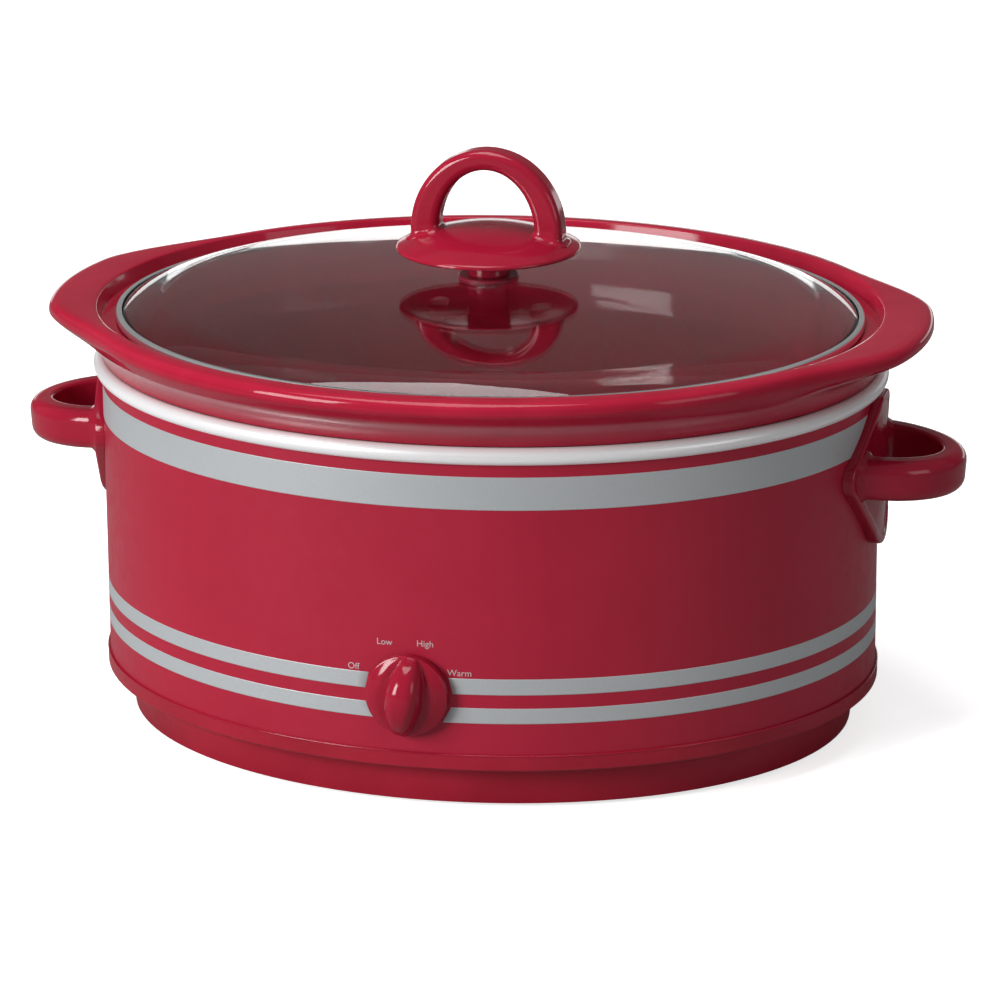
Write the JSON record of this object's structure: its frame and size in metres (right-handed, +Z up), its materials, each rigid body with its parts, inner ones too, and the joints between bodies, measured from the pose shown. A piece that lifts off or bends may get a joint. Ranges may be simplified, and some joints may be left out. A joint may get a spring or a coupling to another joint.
{
  "type": "slow cooker",
  "caption": "Oval slow cooker with a painted heated base, lift-out stoneware crock, glass lid with arched handle, two side handles and a rotary control knob.",
  "frame": {"origin": "bottom centre, on the surface the feet stand on", "axes": "+X along the length, handle to handle; the knob faces -Y; +Z up"},
  "size_m": [0.4158, 0.316, 0.2498],
  "materials": {
    "body_paint": "satin red paint with printed grey bands",
    "base_moulding": "satin red moulding",
    "handle_moulding": "glossy red moulding",
    "stoneware_glaze": "glossy red glaze",
    "lid_glass": "clear polished",
    "polished_steel": "polished stainless",
    "silicone": "translucent silicone",
    "well_metal": "bright, slightly satin",
    "foil_jacket": "foil over mica and glass cloth",
    "zinc_steel": "zinc plated",
    "brass": "plain",
    "switch_moulding": "phenolic",
    "cord_bush_moulding": "nylon",
    "fuse_can": "plain",
    "glass_sleeve": "woven glass sleeving",
    "lead_insulation": "silicone over glass braid",
    "crimp_caps": "nylon",
    "foot_rubber": "matt"
  },
  "bodies": {
    "housing": {"base_screws": "zinc_steel", "base_tub": "base_moulding", "clamp_bolts": "zinc_steel", "cord_bush": "cord_bush_moulding", "crimp_connectors": "crimp_caps", "fuse_clip": "zinc_steel", "fuse_sleeve": "glass_sleeve", "handle_screws_left": "zinc_steel", "handle_screws_right": "zinc_steel", "heater_band": "foil_jacket", "heater_clamp_ears": "zinc_steel", "heater_clamp_straps": "zinc_steel", "heater_terminals": "brass", "heating_well": "well_metal", "lead_fuse": "lead_insulation", "lead_heater_common": "lead_insulation", "lead_heater_high": "lead_insulation", "lead_heater_low": "lead_insulation", "lead_neutral": "lead_insulation", "lead_supply": "lead_insulation", "left_handle": "handle_moulding", "outer_casing": "body_paint", "right_handle": "handle_moulding", "rotary_switch": "switch_moulding", "rubber_foot_front_left": "foot_rubber", "rubber_foot_front_right": "foot_rubber", "rubber_foot_rear_left": "foot_rubber", "rubber_foot_rear_right": "foot_rubber", "spade_connectors": "brass", "switch_nut": "zinc_steel", "switch_terminals": "brass", "thermal_fuse": "fuse_can", "tie_bracket": "zinc_steel", "tie_screw": "zinc_steel"},
    "crock": {"stoneware_crock": "stoneware_glaze"},
    "lid": {"lid_glass": "lid_glass", "lid_band": "polished_steel", "lid_handle": "handle_moulding", "lid_gasket": "silicone", "lid_washer": "polished_steel", "lid_screw": "polished_steel"},
    "knob": {"control_knob": "handle_moulding", "switch_shaft": "zinc_steel", "knob_spring_clip": "zinc_steel"}
  },
  "joints": [
    {"name": "knob_turn", "type": "hinge", "parent": "housing", "child": "knob", "pos_m": [0, -0.15, 0.0525], "axis": [0, 1, 0], "range_deg": [-76.5, 58.5]},
    {"name": "crock_lift", "type": "slide", "parent": "housing", "child": "crock", "axis": [0, 0, 1], "range_m": [0, 0.16]},
    {"name": "lid_lift", "type": "slide", "parent": "crock", "child": "lid", "axis": [0, 0, 1], "range_m": [0, 0.1]}
  ]
}
